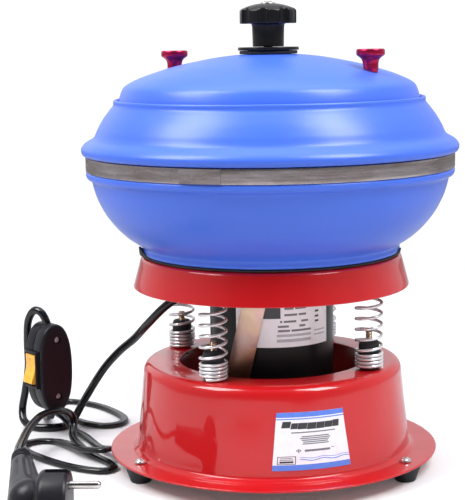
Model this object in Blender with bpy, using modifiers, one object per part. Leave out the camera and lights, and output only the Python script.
"""Vibratory rock tumbler: a blue covered bowl and its motor, carried on four coil
springs above a red pressed steel base, with a mains cord, inline switch and plug.

Metres, +Z up. The frame's origin is on the table, at the middle of the whole
object's footprint, cord included. The machine's own vertical axis stands at
(AXIS_X, AXIS_Y). Lengths are in millimetres until MM turns them to metres, and
angles in degrees. A profile is a list of (radius, height) points about Z.
"""
import math

import bmesh
import bpy
from mathutils import Matrix, Vector

MM = 0.001
WELD = 0.00001                   # merge distance, in metres

# ---- driving dimensions --------------------------------------------------------
AXIS_X, AXIS_Y = 33.42, 5.32     # machine axis in the frame

GAP = 0.3                        # air between neighbouring solids
CLEAR = 0.4                      # radial clearance of a bore round its rod
TURN_STEPS = 28                  # steps round the large turned shells
HEX = 6                          # sides of nuts and bolt heads
NUT_R = 7.5

SHEET = 1.3                      # base sheet
FOOT_H = 11.0                    # underside of the base flange
FLANGE_Z = FOOT_H + SHEET
FLANGE_R = 111.5
BASE_TOP_Z = 71.7
BASE_WALL_R = 88.1
BASE_HOLE_R = 63.0

# Heights of the sprung group are drawn this much below where they stand.
RAISE = 5.4
PAN_TOP_Z = 139.0
PAN_UNDER_Z = PAN_TOP_Z - 1.5
PAN_SEAT_Z = PAN_UNDER_Z - GAP   # top of what hangs from or bears on the pan

ROD_R = 3.0
ROD_TOP_Z = 306.8
ROD_BORE_R = 4.5                 # bore of the bowl, lid, gasket and washer
LID_TOP_Z = 272.0
LID_SKIRT_R = 100.2

CORD_R = 2.9                     # motor to switch
LEAD_R = 2.6                     # switch to plug

# ---- scene -----------------------------------------------------------------------
for old in list(bpy.data.objects):
    bpy.data.objects.remove(old, do_unlink=True)

parts = bpy.data.collections.new("vibratory_rock_tumbler")
cutters = bpy.data.collections.new("cutters")
bpy.context.scene.collection.children.link(parts)
bpy.context.scene.collection.children.link(cutters)

# base colour, roughness, metallic
MATERIALS = {
    "base_red": ((0.62, 0.012, 0.018), 0.18, 0.0),
    "bowl_blue": ((0.035, 0.16, 0.72), 0.42, 0.0),
    "rubber": ((0.02, 0.02, 0.022), 0.75, 0.0),
    "bright_steel": ((0.72, 0.72, 0.72), 0.25, 1.0),
    "band_steel": ((0.50, 0.47, 0.43), 0.35, 1.0),
    "zinc_yellow": ((0.66, 0.48, 0.36), 0.32, 1.0),
    "motor_black": ((0.015, 0.015, 0.017), 0.35, 0.0),
    "iron": ((0.30, 0.30, 0.31), 0.5, 1.0),
    "copper_stack": ((0.45, 0.25, 0.14), 0.5, 1.0),
    "knob_black": ((0.012, 0.012, 0.013), 0.3, 0.0),
    "anodised_red": ((0.32, 0.008, 0.05), 0.25, 1.0),
    "cord_black": ((0.014, 0.014, 0.016), 0.35, 0.0),
    "switch_black": ((0.02, 0.02, 0.026), 0.45, 0.0),
    "rocker_orange": ((0.95, 0.48, 0.04), 0.35, 0.0),
    "nickel": ((0.75, 0.73, 0.72), 0.2, 1.0),
}


def make_material(name, colour, roughness, metallic):
    made = bpy.data.materials.new(name)
    made.use_nodes = True
    shader = made.node_tree.nodes["Principled BSDF"]
    shader.inputs["Base Color"].default_value = (*colour, 1)
    shader.inputs["Roughness"].default_value = roughness
    shader.inputs["Metallic"].default_value = metallic
    made.diffuse_color = (*colour, 1)
    return made


materials = {name: make_material(name, *values) for name, values in MATERIALS.items()}


# ---- objects and shapes ------------------------------------------------------------
def place(obj, parent, loc, rot):
    obj.parent = parent
    obj.location = [value * MM for value in loc]
    obj.rotation_euler = [math.radians(value) for value in rot]


def empty(name, parent, loc, rot=(0, 0, 0)):
    obj = bpy.data.objects.new(name, None)
    obj.empty_display_size = 0.02
    place(obj, parent, loc, rot)
    parts.objects.link(obj)
    return obj


def add(name, parent, data, material=None, loc=(0, 0, 0), rot=(0, 0, 0)):
    """An object of the given data. Without a material it is a hidden boolean helper."""
    obj = bpy.data.objects.new(name, data)
    place(obj, parent, loc, rot)
    if material:
        parts.objects.link(obj)
        data.materials.append(materials[material])
    else:
        cutters.objects.link(obj)
        obj.hide_render = True
        obj.display_type = "WIRE"
    return obj


def turned(name, parent, profile, material=None, steps=TURN_STEPS, **where):
    """A profile turned about Z. One that starts off the axis is closed into a ring."""
    mesh = bpy.data.meshes.new(name)
    last = len(profile) - 1
    edges = [(i, i + 1) for i in range(last)]
    if profile[0][0] > 0:
        edges.append((last, 0))
    mesh.from_pydata([(radius * MM, 0, z * MM) for radius, z in profile], edges, [])
    obj = add(name, parent, mesh, material, **where)
    screw = obj.modifiers.new("turn", "SCREW")
    screw.axis = "Z"
    screw.angle = 2 * math.pi
    screw.steps = screw.render_steps = steps
    screw.use_merge_vertices = True
    screw.merge_threshold = WELD
    screw.use_smooth_shade = True
    return obj


def solid(name, parent, build, material=None, **where):
    """A mesh that build(mesh_edit) fills in."""
    mesh = bpy.data.meshes.new(name)
    mesh_edit = bmesh.new()
    build(mesh_edit)
    mesh_edit.to_mesh(mesh)
    mesh_edit.free()
    return add(name, parent, mesh, material, **where)


def cylinder(name, parent, radius, bottom, top, steps, material=None, top_radius=None,
             twist=0.0, **where):
    """A cylinder, or a cone when top_radius is given, twisted about its axis."""
    def build(mesh_edit):
        bmesh.ops.create_cone(
            mesh_edit, cap_ends=True, segments=steps, radius1=radius * MM,
            radius2=(radius if top_radius is None else top_radius) * MM,
            depth=(top - bottom) * MM,
            matrix=(Matrix.Translation((0, 0, (bottom + top) / 2 * MM))
                    @ Matrix.Rotation(math.radians(twist), 4, "Z")))
    return solid(name, parent, build, material, **where)


def box(name, parent, low, high, material=None, **where):
    def build(mesh_edit):
        size = [(b - a) * MM for a, b in zip(low, high)]
        middle = [(a + b) / 2 * MM for a, b in zip(low, high)]
        bmesh.ops.create_cube(
            mesh_edit, size=1,
            matrix=Matrix.Translation(middle) @ Matrix.Diagonal((*size, 1)))
    return solid(name, parent, build, material, **where)


def fill_spline(curve, points):
    spline = curve.splines.new("POLY")
    spline.points.add(len(points) - 1)
    for target, (x, y, z) in zip(spline.points, points):
        target.co = (x * MM, y * MM, z * MM, 1)
    return spline


def wire(name, parent, points, radius, material, resolution, **where):
    """A round wire along the points, as a curve with filled caps."""
    curve = bpy.data.curves.new(name, "CURVE")
    curve.dimensions = "3D"
    curve.bevel_depth = radius * MM
    curve.bevel_resolution = resolution
    curve.use_fill_caps = True
    fill_spline(curve, points)
    return add(name, parent, curve, material, **where)


def plate(name, parent, outline, half, material, **where):
    """A mesh plate of an (x, y) outline, half thick each way along its own Z."""
    curve = bpy.data.curves.new(name, "CURVE")
    curve.dimensions = "2D"
    curve.fill_mode = "BOTH"
    curve.extrude = half * MM
    fill_spline(curve, [(x, y, 0) for x, y in outline]).use_cyclic_u = True
    source = bpy.data.objects.new(name, curve)
    parts.objects.link(source)
    graph = bpy.context.evaluated_depsgraph_get()
    mesh = bpy.data.meshes.new_from_object(source.evaluated_get(graph))
    bpy.data.objects.remove(source, do_unlink=True)
    # the curve's caps come loose from its sides
    mesh_edit = bmesh.new()
    mesh_edit.from_mesh(mesh)
    bmesh.ops.remove_doubles(mesh_edit, verts=mesh_edit.verts, dist=WELD)
    mesh_edit.to_mesh(mesh)
    mesh_edit.free()
    return add(name, parent, mesh, material, **where)


def boolean(obj, other, operation):
    modifier = obj.modifiers.new(operation.lower(), "BOOLEAN")
    modifier.operation = operation
    modifier.solver = "EXACT"
    modifier.object = other


def cut(obj, other):
    boolean(obj, other, "DIFFERENCE")


def join(obj, other):
    boolean(obj, other, "UNION")


def on_ring(radius, angle):
    turn = math.radians(angle)
    return radius * math.cos(turn), radius * math.sin(turn), 0


def smooth_path(stations, per_span=2):
    """Points along a Catmull-Rom curve through the stations."""
    knots = [Vector(station) for station in stations]
    knots = [2 * knots[0] - knots[1]] + knots + [2 * knots[-1] - knots[-2]]
    path = []
    for i in range(1, len(knots) - 2):
        before, start, end, after = knots[i - 1:i + 3]
        for k in range(per_span):
            t = k / per_span
            path.append(0.5 * (2 * start + (end - before) * t
                               + (2 * before - 5 * start + 4 * end - after) * t * t
                               + (3 * start - before - 3 * end + after) * t ** 3))
    path.append(knots[-2])
    return path


machine = empty("machine_axis", None, (AXIS_X, AXIS_Y, 0))
sprung = empty("sprung_group", machine, (0, 0, RAISE))

# ---- base ---------------------------------------------------------------------------
BASE_OUTER = [                   # from the top hole out and down to the flange
    (BASE_HOLE_R, BASE_TOP_Z), (81.6, BASE_TOP_Z), (85.2, 70.6), (87.4, 68.0),
    (BASE_WALL_R, 64.2), (89.6, 47.5), (91.3, 30.0), (92.6, 18.5), (93.6, 14.8),
    (95.4, 12.7), (97.5, FLANGE_Z), (FLANGE_R, FLANGE_Z)]
BASE_INNER = [                   # back up the inside
    (FLANGE_R, FOOT_H), (97.1, FOOT_H), (94.6, 11.5), (92.4, 14.2), (91.3, 18.3),
    (90.0, 30.0), (88.3, 47.5), (86.8, 64.2), (86.2, 67.4), (84.6, 69.5),
    (81.4, BASE_TOP_Z - SHEET), (BASE_HOLE_R, BASE_TOP_Z - SHEET)]
base_shell = turned("base_shell", machine, BASE_OUTER + BASE_INNER, "base_red")

# ---- feet ---------------------------------------------------------------------------
FOOT_RING_R = 100.3
FOOT_ANGLES = (90.0, 210.0, 330.0)
FOOT_TOP_Z = FOOT_H - GAP
FOOT_SCREW_R = 1.8
FOOT_BORE_R = FOOT_SCREW_R + CLEAR
FOOT_PROFILE = [
    (0, 3.2), (FOOT_BORE_R, 3.2), (FOOT_BORE_R, FOOT_TOP_Z), (9.8, FOOT_TOP_Z),
    (6.8, 0.6), (6.3, 0), (0, 0)]
FOOT_SCREW_PROFILE = [
    (0, 15.1), (2.3, 14.8), (3.5, 13.9), (3.8, 12.7), (FOOT_SCREW_R, 12.7),
    (FOOT_SCREW_R, 4.0), (0, 4.0)]

for i, angle in enumerate(FOOT_ANGLES, 1):
    spot = on_ring(FOOT_RING_R, angle)
    turned(f"rubber_foot_{i}", machine, FOOT_PROFILE, "rubber", steps=16, loc=spot)
    turned(f"foot_screw_{i}", machine, FOOT_SCREW_PROFILE, "bright_steel", steps=12, loc=spot)
    cut(base_shell, cylinder(f"cut_foot_{i}", machine, FOOT_BORE_R, 5, 20, 16, loc=spot))

# ---- sprung pan ---------------------------------------------------------------------
PAN_OUTER = [                    # from the rod hole out and down to the rim
    (ROD_R + CLEAR, PAN_TOP_Z), (84.5, PAN_TOP_Z), (87.2, 138.0), (88.4, 135.5),
    (92.7, 120.5), (93.0, 118.0)]
PAN_INNER = [                    # back up the inside
    (91.5, 118.0), (91.2, 120.2), (86.9, 135.2), (85.9, 136.9), (84.2, PAN_UNDER_Z),
    (ROD_R + CLEAR, PAN_UNDER_Z)]
pan = turned("motor_pan", sprung, PAN_OUTER + PAN_INNER, "base_red")

# ---- springs, their plugs and bolts -------------------------------------------------
SPRING_RING_R = 74.0
SPRING_ANGLES = (60.0, 150.0, 240.0, 330.0)
SPRING_BOTTOM_Z = BASE_TOP_Z + GAP
SPRING_TOP_Z = PAN_SEAT_Z + RAISE
COIL_R = 8.5                     # to the middle of the wire
COIL_WIRE_R = 1.0
COIL_STEPS = 8                   # per turn
END_PITCH = 2.35                 # of the closed turns at both ends
BOTTOM_TURNS = 4.5
ACTIVE_TURNS = 7.2
TOP_TURNS = 3.0
SPRING_BOLT_R = 2.3
BOLT_BORE_R = SPRING_BOLT_R + CLEAR
PLUG_R, PLUG_END_R, PLUG_TIP_R = 6.6, 6.2, 5.8
PLUG_NECK_R = 2.2                # upper plug's neck through the pan
LOWER_PLUG_PROFILE = [
    (BOLT_BORE_R, 91.2), (PLUG_TIP_R, 91.2), (PLUG_R, 90.2), (PLUG_R, 73.2),
    (PLUG_END_R, SPRING_BOTTOM_Z), (BOLT_BORE_R, SPRING_BOTTOM_Z)]
UPPER_PLUG_PROFILE = [
    (0, 138.7), (PLUG_NECK_R, 138.7), (PLUG_NECK_R, PAN_SEAT_Z), (PLUG_END_R, PAN_SEAT_Z),
    (PLUG_R, 136.0), (PLUG_R, 119.5), (PLUG_TIP_R, 118.5), (0, 118.5)]


def coil_points():
    """Centre line of a spring: closed turns, active turns, closed turns."""
    z = SPRING_BOTTOM_Z + COIL_WIRE_R
    height = SPRING_TOP_Z - COIL_WIRE_R - z
    closed_height = (BOTTOM_TURNS + TOP_TURNS) * END_PITCH
    active_pitch = (height - closed_height) / ACTIVE_TURNS
    turns = BOTTOM_TURNS + ACTIVE_TURNS + TOP_TURNS
    steps = round(turns * COIL_STEPS)
    points = []
    for k in range(steps + 1):
        if k:
            middle = turns * (k - 0.5) / steps
            active = BOTTOM_TURNS <= middle <= BOTTOM_TURNS + ACTIVE_TURNS
            z += (active_pitch if active else END_PITCH) * turns / steps
        angle = 2 * math.pi * (turns * k / steps)
        points.append((COIL_R * math.cos(angle), COIL_R * math.sin(angle), z))
    return points


for i, angle in enumerate(SPRING_ANGLES, 1):
    spot = on_ring(SPRING_RING_R, angle)
    wire(f"suspension_spring_{i}", machine, coil_points(), COIL_WIRE_R, "bright_steel",
         resolution=0, loc=spot, rot=(0, 0, angle))
    turned(f"lower_spring_plug_{i}", machine, LOWER_PLUG_PROFILE, "rubber", steps=12, loc=spot)
    bolt = cylinder(f"spring_bolt_{i}", machine, SPRING_BOLT_R, 68.2, 97.2, 12, "nickel",
                    loc=spot)
    join(bolt, cylinder(f"join_bolt_head_{i}", machine, 4.6, 66.4, 70.1, HEX, loc=spot))
    cut(base_shell, cylinder(f"cut_spring_bolt_{i}", machine, BOLT_BORE_R, 68, 75, 12,
                             loc=spot))
    turned(f"upper_spring_plug_{i}", sprung, UPPER_PLUG_PROFILE, "rubber", steps=12, loc=spot)
    cut(pan, cylinder(f"cut_pan_plug_{i}", sprung, 2.7, 136, 141, 12, loc=spot))

# ---- bowl mat, tie rod --------------------------------------------------------------
MAT_TOP_Z = 140.7
MAT_INNER_R, MAT_OUTER_R = 34.0, 88.3
ROD_BOTTOM_Z = 137.8
ROD_CHAMFER = 0.6


def tube(name, inner, outer, bottom, top, material, steps=TURN_STEPS):
    """A plain ring in the sprung group."""
    profile = [(inner, top), (outer, top), (outer, bottom), (inner, bottom)]
    return turned(name, sprung, profile, material, steps)


tube("bowl_mat", MAT_INNER_R, MAT_OUTER_R, PAN_TOP_Z + GAP, MAT_TOP_Z, "rubber")
turned("tie_rod", sprung,
       [(0, ROD_TOP_Z), (ROD_R - ROD_CHAMFER, ROD_TOP_Z), (ROD_R, ROD_TOP_Z - ROD_CHAMFER),
        (ROD_R, ROD_BOTTOM_Z), (0, ROD_BOTTOM_Z)], "bright_steel", steps=16)
rod_nut = cylinder("tie_rod_nut", sprung, NUT_R, PAN_TOP_Z + GAP, 144.5, HEX, "bright_steel")
cut(rod_nut, cylinder("cut_rod_nut", sprung, ROD_R + CLEAR, 138, 146, 16))

# ---- motor --------------------------------------------------------------------------
MOTOR_R = 42.0
MOTOR_INNER_R = MOTOR_R - 1.2
MOTOR_BOTTOM_Z = 47.5
SHELL_BOTTOM_Z = 56.0
BELL_TOP_Z = SHELL_BOTTOM_Z - GAP
SHAFT_R = 4.0
SHAFT_BORE_R = SHAFT_R + CLEAR
SHAFT_TOP_Z, SHAFT_BOTTOM_Z = 134.8, 15.0
POCKET_R, POCKET_OUTER_R = 9.4, 11.0     # sleeves round the bearings
MOTOR_SHELL_PROFILE = [
    (POCKET_R, PAN_SEAT_Z), (38.0, PAN_SEAT_Z), (41.0, 136.0), (MOTOR_R, 133.0),
    (MOTOR_R, SHELL_BOTTOM_Z), (MOTOR_INNER_R, SHELL_BOTTOM_Z), (MOTOR_INNER_R, 132.6),
    (39.9, 134.7), (37.6, 135.9), (POCKET_OUTER_R, 135.9), (POCKET_OUTER_R, 128.0),
    (POCKET_R, 128.0)]
END_BELL_PROFILE = [
    (POCKET_R, 60.0), (POCKET_OUTER_R, 60.0), (POCKET_OUTER_R, 55.0), (37.0, 55.0),
    (37.0, BELL_TOP_Z), (MOTOR_R, BELL_TOP_Z), (MOTOR_R, 50.5), (38.0, MOTOR_BOTTOM_Z),
    (POCKET_R, MOTOR_BOTTOM_Z)]

turned("motor_shell", sprung, MOTOR_SHELL_PROFILE, "motor_black")
turned("motor_end_bell", sprung, END_BELL_PROFILE, "motor_black")
tube("motor_stator", 25.0, MOTOR_INNER_R - CLEAR, 64.0, 116.0, "copper_stack", steps=24)
tube("motor_rotor", SHAFT_BORE_R, 24.0, 62.0, 118.0, "iron", steps=24)
turned("motor_shaft", sprung,
       [(0, SHAFT_TOP_Z), (SHAFT_R, SHAFT_TOP_Z), (SHAFT_R, SHAFT_BOTTOM_Z),
        (0, SHAFT_BOTTOM_Z)], "bright_steel", steps=16)
for name, bottom, top in (("upper_bearing", 128.2, 135.6), ("lower_bearing", 49.5, 57.0)):
    tube(name, SHAFT_BORE_R, POCKET_R - CLEAR, bottom, top, "nickel", steps=20)

# eccentric weight: about half a disc and its hub, on the shaft below the motor
WEIGHT_R = 31.0
WEIGHT_HUB_R = 12.0
WEIGHT_Z = (24.0, 40.0)
WEIGHT_CUT_Y = 5                 # the disc is cut away beyond this
weight = cylinder("eccentric_weight", sprung, WEIGHT_R, *WEIGHT_Z, 24, "iron")
cut(weight, box("cut_weight_half", sprung, (-40, WEIGHT_CUT_Y, 20), (40, 40, 45)))
join(weight, cylinder("join_weight_hub", sprung, WEIGHT_HUB_R, *WEIGHT_Z, 20, twist=9))
cut(weight, cylinder("cut_weight_bore", sprung, SHAFT_BORE_R, 20, 45, 16))
weight_nut = cylinder("weight_nut", sprung, NUT_R, 17.5, 23.6, HEX, "bright_steel")
cut(weight_nut, cylinder("cut_weight_nut", sprung, SHAFT_BORE_R, 15, 25, 16))

# ---- plated straps that hold the motor up under the pan -----------------------------
STRAP_W, STRAP_T = 13.5, 2.0
STRAP_DROP = 90
STRAP_LEAN = 13.0
STRAP_TOP = (-5.4, -MOTOR_R - 0.6, 135.2)
# side view: X in towards the motor, Y up; a lip out at the top and in at the bottom
STRAP_SIDE = [
    (-14, 0), (0, 0), (0, -STRAP_DROP), (13, -STRAP_DROP), (13, -STRAP_DROP - STRAP_T),
    (-STRAP_T, -STRAP_DROP - STRAP_T), (-STRAP_T, -STRAP_T), (-14, -STRAP_T)]
for i, (name, turn) in enumerate((("motor_strap_front", 0.0), ("motor_strap_rear", 180.0))):
    side = empty(f"strap_side_{i}", sprung, (0, 0, 0), (0, 0, turn))
    lean = empty(f"strap_lean_{i}", side, STRAP_TOP, (0, STRAP_LEAN, 0))
    plate(name, lean, STRAP_SIDE, STRAP_W / 2, "zinc_yellow", rot=(90, 0, 90))

# ---- bowl, band, seal, cover --------------------------------------------------------
BAND_R = 123.2
BAND_SHEET = 0.8
BAND_BOTTOM_Z, BAND_TOP_Z = 197.5, 207.0
BOWL_INNER = [                   # from the top of the centre cone out to the rim
    (ROD_BORE_R, 236.0), (13.0, 236.0), (15.0, 234.5), (16.5, 208.0), (19.0, 184.0),
    (24.5, 162.0), (31.0, 153.8), (41.0, 151.0), (78.0, 151.4), (88.0, 154.5),
    (95.0, 159.6), (102.0, 167.6), (108.0, 177.5), (113.0, 190.0), (116.5, 200.5),
    (117.2, 207.3)]
BOWL_OUTER = [                   # from the rim down, under and up inside the cone
    (121.6, 207.3), (122.1, 206.6), (122.1, 197.2), (122.8, 195.7), (121.4, 193.0),
    (119.2, 190.3), (117.1, 182.4), (113.8, 174.3), (109.2, 166.3), (104.9, 160.8),
    (99.7, 155.4), (92.7, 149.9), (88.8, 147.1), (86.0, 146.0), (86.8, 144.0),
    (86.5, 141.4), (85.5, 141.0), (80.5, 141.0), (79.5, 146.4), (36.0, 146.4),
    (25.0, 149.4), (18.5, 161.0), (13.0, 184.0), (10.5, 208.0), (9.0, 229.5),
    (ROD_BORE_R, 229.5)]
COVER_OUTER = [                  # from the mouth's lip out and down to the rim
    (101.2, 243.2), (103.0, 243.5), (103.8, 242.6), (103.6, 240.6), (105.2, 238.6),
    (107.9, 235.0), (109.9, 232.4), (111.6, 229.8), (113.1, 227.2), (114.6, 224.5),
    (115.7, 221.9), (117.1, 219.3), (121.0, 216.7), (124.3, 214.4), (125.8, 211.6),
    (125.2, 208.6), (124.0, 207.8)]
COVER_INNER = [                  # up the inside to the lid's ledge
    (123.9, 209.7), (116.6, 209.7), (113.6, 216.4), (111.6, 220.8), (108.6, 227.2),
    (104.8, 233.4), (101.0, 237.2), (96.6, 238.0), (96.6, 240.2), (101.2, 240.2)]

turned("bowl", sprung, BOWL_INNER + BOWL_OUTER, "bowl_blue")
tube("bowl_band", BAND_R - BAND_SHEET, BAND_R, BAND_BOTTOM_Z, BAND_TOP_Z, "band_steel")
tube("rim_seal", 117.8, 121.4, 207.6, 209.3, "rubber")
turned("cover", sprung, COVER_OUTER + COVER_INNER, "bowl_blue")

# ---- lid and its two knobs ----------------------------------------------------------
LID_OUTER = [                    # from the bore out and down to the skirt
    (ROD_BORE_R, LID_TOP_Z), (20.0, LID_TOP_Z), (40.0, 269.5), (54.0, 266.8), (66.0, 264.0),
    (75.0, 261.3), (83.0, 258.7), (90.0, 256.0), (94.6, 253.5), (97.7, 250.8),
    (99.0, 247.0), (LID_SKIRT_R, 243.0), (LID_SKIRT_R, 240.5)]
LID_INNER = [                    # back up the inside
    (96.8, 240.5), (96.2, 245.2), (94.4, 249.2), (90.5, 252.2), (83.0, 255.0),
    (66.0, 260.4), (40.0, 266.0), (20.0, 268.5), (ROD_BORE_R, 268.5)]
LID_KNOB_RING_R = 75.5
LID_KNOB_ANGLES = (150.0, 330.0)
LID_KNOB_PROFILE = [
    (0, 274.4), (3.4, 274.4), (3.6, 275.0), (8.5, 275.0), (9.2, 274.3), (9.2, 271.2),
    (8.2, 270.2), (5.6, 268.4), (4.7, 265.0), (4.7, 254.0), (0, 254.0)]
LID_STUD_R = 2.4
LID_STUD_HOLE_R = 2.9
CROWN_BOTTOM_Z = 230.0

lid = turned("lid", sprung, LID_OUTER + LID_INNER, "bowl_blue")
# the lid's crown raised by the gap and closed below, which shapes the knobs' feet
crown = turned("cut_lid_crown", sprung,
               [(0, LID_TOP_Z + GAP)] + [(radius, z + GAP) for radius, z in LID_OUTER[1:-1]]
               + [(LID_SKIRT_R, CROWN_BOTTOM_Z), (0, CROWN_BOTTOM_Z)])
for i, angle in enumerate(LID_KNOB_ANGLES, 1):
    spot = on_ring(LID_KNOB_RING_R, angle)
    knob = turned(f"lid_knob_{i}", sprung, LID_KNOB_PROFILE, "anodised_red", steps=20, loc=spot)
    cut(knob, crown)
    join(knob, cylinder(f"join_lid_stud_{i}", sprung, LID_STUD_R, 253.0, 268.0, 12, loc=spot))
    cut(lid, cylinder(f"cut_lid_stud_{i}", sprung, LID_STUD_HOLE_R, 245, 275, 12, loc=spot))

# ---- clamp: gasket, washer, star knob, insert ---------------------------------------
GASKET_TOP_Z = 274.4
WASHER_TOP_Z = 276.8
WASHER_BOTTOM_Z = GASKET_TOP_Z + GAP
KNOB_BOTTOM_Z = WASHER_TOP_Z + GAP
KNOB_LOBES = 8
KNOB_STEPS = 40
KNOB_STAR_R = 18.9               # out to the tips of the lobes
STAR_DEPTH = 1.4
KNOB_BORE_R = 5.5
# height, mean radius, lobe depth: from the domed top to the foot of the round neck
KNOB_RINGS = [
    (305.5, 11.0, 0.3),
    (302.4, 11.0, 0.3),
    (300.0, KNOB_STAR_R - STAR_DEPTH, STAR_DEPTH),
    (294.0, KNOB_STAR_R - STAR_DEPTH, STAR_DEPTH),
    (292.7, 17.6, 1.6),
    (291.7, 10.7, 0.0),
    (KNOB_BOTTOM_Z, 10.7, 0.0),
]


def build_star_knob(mesh_edit):
    rings = []
    for z, mean, depth in KNOB_RINGS:
        ring = []
        for k in range(KNOB_STEPS):
            angle = 2 * math.pi * k / KNOB_STEPS
            radius = mean + depth * math.cos(KNOB_LOBES * angle)
            ring.append(mesh_edit.verts.new(
                (radius * math.cos(angle) * MM, radius * math.sin(angle) * MM, z * MM)))
        rings.append(ring)
    for upper, lower in zip(rings, rings[1:]):
        for k in range(KNOB_STEPS):
            j = (k + 1) % KNOB_STEPS
            mesh_edit.faces.new((upper[k], lower[k], lower[j], upper[j]))
    mesh_edit.faces.new(rings[0])
    mesh_edit.faces.new(list(reversed(rings[-1])))


tube("clamp_gasket", ROD_BORE_R, 19.3, LID_TOP_Z + GAP, GASKET_TOP_Z, "rubber", steps=24)
turned("clamp_washer", sprung,
       [(ROD_BORE_R, WASHER_TOP_Z), (20.0, WASHER_TOP_Z), (20.3, 276.4),
        (20.3, WASHER_BOTTOM_Z), (ROD_BORE_R, WASHER_BOTTOM_Z)], "knob_black", steps=24)
star_knob = solid("star_knob", sprung, build_star_knob, "knob_black")
cut(star_knob, cylinder("cut_knob_bore", sprung, KNOB_BORE_R, 270, 310, 16))
tube("knob_insert", ROD_R + 0.5, 5.0, KNOB_BOTTOM_Z + 0.2, 305.9, "nickel", steps=16)

# ---- mains cord ---------------------------------------------------------------------
# (x, y, z) stations from the motor to the top of the switch
MOTOR_CORD = [
    (-43.2, 0, 123), (-46.0, 0, 122.6), (-57, -1, 117.5), (-72, 1, 108), (-86, 9, 93.5),
    (-97, 26, 80), (-109, 43, 68), (-121, 58, 54), (-130, 69, 41), (-138, 78, 28),
    (-144.5, 83, 17), (-149, 84, 9), (-153, 80, 4.2), (-159, 74, 3.4), (-168, 71.5, 3.4),
    (-179, 74, 3.6), (-188, 82, 6), (-190, 88, 14), (-187, 86, 28), (-183, 80, 48),
    (-182, 75, 68), (-180, 70, 84), (-174.5, 65, 93), (-168.5, 61.6, 92), (-164.6, 60, 85),
    (-164, 60, 79)]
# from the bottom of the switch to the plug's sleeve
PLUG_LEAD = [
    (-164, 60, 26), (-164, 60, 20), (-165, 64, 13.5), (-168, 74, 12.5), (-172, 90, 6),
    (-176, 112, 3.4), (-176, 136, 3.4), (-167, 152, 3.4), (-154, 149, 3.4),
    (-137, 136, 3.4), (-122, 116, 3.4), (-114, 98, 3.4), (-116, 85, 3.4), (-126, 79.5, 3.4),
    (-138, 83, 3.6), (-148, 92, 3.6), (-158, 94, 5), (-165, 88, 9.5), (-162, 78, 13),
    (-155, 68, 11), (-147, 61, 5), (-137, 49, 3.6), (-124, 22, 3.6), (-115, 4, 7),
    (-112.5, -7, 9.6), (-119, -11, 9.6), (-133, 3, 7), (-149, 27, 5), (-159, 38, 3.4),
    (-171, 38, 3.4), (-179, 28, 3.4), (-174, 13, 3.4), (-160, -4, 3.4), (-144, -19, 3.4),
    (-129, -29, 3.4), (-114, -34, 3.4), (-108, -27, 3.4), (-112, -16, 3.4), (-124, 1, 3.4),
    (-136, 20, 4), (-144, 36, 6), (-145.5, 46, 10.5), (-146.5, 49.5, 17),
    (-150.2, 45, 22.1), (-156, 36, 25.2), (-164.7, 24, 25.1), (-170.4, 8, 20.7),
    (-172, -14, 17), (-171, -32, 16.5), (-167.5, -51, 19.5), (-163.7, -62.5, 23),
    (-162, -70, 23), (-160.5, -76.8, 22.65)]
wire("motor_cord", machine, smooth_path(MOTOR_CORD), CORD_R, "cord_black", resolution=1)
wire("plug_lead", machine, smooth_path(PLUG_LEAD), LEAD_R, "cord_black", resolution=1)

# ---- inline switch ------------------------------------------------------------------
# its own X points away from the rocker, -Y out of the screwed face, Z up
switch = empty("switch_frame", machine, (-164.0, 60.0, 52.5), (0, 0, 40.0))
SWITCH_HALF_W = 14.0             # X
SWITCH_HALF_H = 32.5             # Z
SWITCH_HALF_T = 11.0             # Y
SWITCH_ROUNDING = 2.3            # superellipse exponent; 2 gives an ellipse
SWITCH_STEPS = 28
SCREW_X = 1.5
SCREW_HEIGHTS = (21.0, -21.0)
SCREW_R = 1.2
SCREW_SEAT_DEPTH = 2.7           # of the head, below the screwed face
SCREW_PROFILE = [
    (0, 1.6), (1.6, 1.5), (2.2, 0.9), (2.2, 0), (SCREW_R, 0), (SCREW_R, -8.5), (0, -8.5)]
FRAME_HALF_Y, FRAME_HALF_Z = 7.8, 13.6
WELL_HALF_Y, WELL_HALF_Z = 6.8, 11.9


def switch_outline():
    points = []
    for k in range(SWITCH_STEPS):
        angle = 2 * math.pi * k / SWITCH_STEPS
        x, y = math.cos(angle), math.sin(angle)
        radius = (abs(x / SWITCH_HALF_W) ** SWITCH_ROUNDING
                  + abs(y / SWITCH_HALF_H) ** SWITCH_ROUNDING) ** (-1 / SWITCH_ROUNDING)
        points.append((radius * x, radius * y))
    return points


front_half, back_half = [
    plate(name, switch, switch_outline(), (SWITCH_HALF_T - GAP / 2) / 2, "switch_black",
          loc=(0, side * (SWITCH_HALF_T + GAP / 2) / 2, 0), rot=(90, 0, 0))
    for name, side in (("switch_front_half", -1), ("switch_back_half", 1))]

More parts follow.
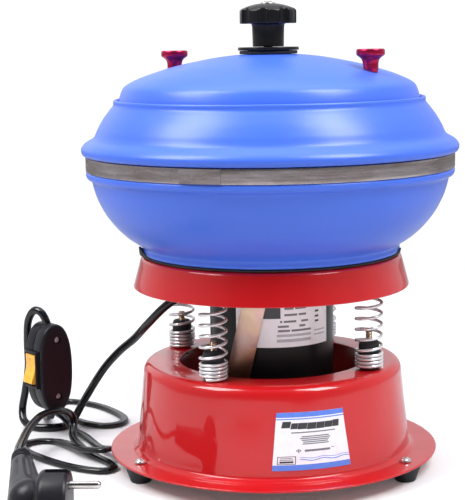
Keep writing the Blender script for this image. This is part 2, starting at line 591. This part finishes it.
shared_cuts = [
    box("cut_switch_frame", switch, (-20, -FRAME_HALF_Y - GAP, -FRAME_HALF_Z - GAP),
        (-4.5, FRAME_HALF_Y + GAP, FRAME_HALF_Z + GAP)),
    cylinder("cut_switch_cord_1", switch, CORD_R + CLEAR, 26.0, 40.0, 12),
    cylinder("cut_switch_cord_2", switch, LEAD_R + CLEAR, -40.0, -26.0, 12)]
for i, z in enumerate(SCREW_HEIGHTS, 1):
    shared_cuts.append(cylinder(f"cut_switch_screw_{i}", switch, SCREW_R + CLEAR, -2, 9, 12,
                                loc=(SCREW_X, -7, z), rot=(-90, 0, 0)))
for half in (front_half, back_half):
    for cutter in shared_cuts:
        cut(half, cutter)
for i, z in enumerate(SCREW_HEIGHTS, 1):
    cut(front_half, cylinder(f"cut_switch_head_{i}", switch, 2.7, -3.0, 2, 12,
                             loc=(SCREW_X, -SWITCH_HALF_T, z), rot=(90, 0, 0)))
    turned(f"switch_screw_{i}", switch, SCREW_PROFILE, "bright_steel", steps=12,
           loc=(SCREW_X, -SWITCH_HALF_T + SCREW_SEAT_DEPTH, z), rot=(90, 0, 0))

rocker_frame = box("rocker_frame", switch, (-15.6, -FRAME_HALF_Y, -FRAME_HALF_Z),
                   (-5.0, FRAME_HALF_Y, FRAME_HALF_Z), "switch_black")
cut(rocker_frame, box("cut_rocker_well", switch, (-20, -WELL_HALF_Y, -WELL_HALF_Z),
                      (-6.2, WELL_HALF_Y, WELL_HALF_Z)))

# the rocker turns about its pivot's Y; it rests with its upper end pressed in
pivot = empty("rocker_pivot", switch, (-12.0, 0, 0), (0, 10.0, 0))
ROCKER_SIDE = [                  # side view: X into the switch, Y up
    (-5.4, 10.4), (-3.9, 0.6), (-3.9, -0.6), (-5.4, -10.4), (-2.0, -10.6), (3.4, -4.0),
    (3.4, 4.0), (-2.0, 10.6)]
plate("switch_rocker", pivot, ROCKER_SIDE, WELL_HALF_Y - CLEAR, "rocker_orange",
      rot=(90, 0, 0))

# ---- mains plug: pins along +X, sleeve running off along +Y -------------------------
plug = empty("plug_frame", machine, (-129.5, -147.0, 19.0))
BODY_R, BODY_HALF = 18.5, 10.0
SLEEVE_START = Vector((-15.5, 0.0, 0.0))
SLEEVE_END = Vector((-32.5, 77.0, 4.0))
HEEL_R = 13.5
PIN_R = 2.4
PIN_OFFSETS = (9.5, -9.5)        # Z
PIN_PROFILE = [(0, 19.0), (1.4, 19.0), (PIN_R, 18.0), (PIN_R, -5.0), (0, -5.0)]


def build_heel(mesh_edit):
    bmesh.ops.create_uvsphere(mesh_edit, u_segments=16, v_segments=8, radius=HEEL_R * MM)


sleeve = SLEEVE_END - SLEEVE_START
sleeve_turn = sleeve.normalized().to_track_quat("Z", "Y").to_euler()
along_sleeve = {"loc": SLEEVE_START, "rot": [math.degrees(value) for value in sleeve_turn]}

plug_body = cylinder("plug_body", plug, BODY_R, -BODY_HALF, BODY_HALF, 28, "switch_black",
                     rot=(0, 90, 0))
join(plug_body, cylinder("join_plug_sleeve", plug, 11.5, 0, sleeve.length, 20,
                         top_radius=6.2, **along_sleeve))
join(plug_body, solid("join_plug_heel", plug, build_heel, loc=(-HEEL_R, 0, 0)))
cut(plug_body, cylinder("cut_plug_lead", plug, LEAD_R + 0.6, sleeve.length - 10,
                        sleeve.length + 10, 12, **along_sleeve))
for i, z in enumerate(PIN_OFFSETS, 1):
    at_pin = {"loc": (BODY_HALF, 0, z), "rot": (0, 90, 0)}
    turned(f"plug_pin_{i}", plug, PIN_PROFILE, "nickel", steps=14, **at_pin)
    cut(plug_body, cylinder(f"cut_plug_pin_{i}", plug, PIN_R + CLEAR, -5.6, 10, 14, **at_pin))
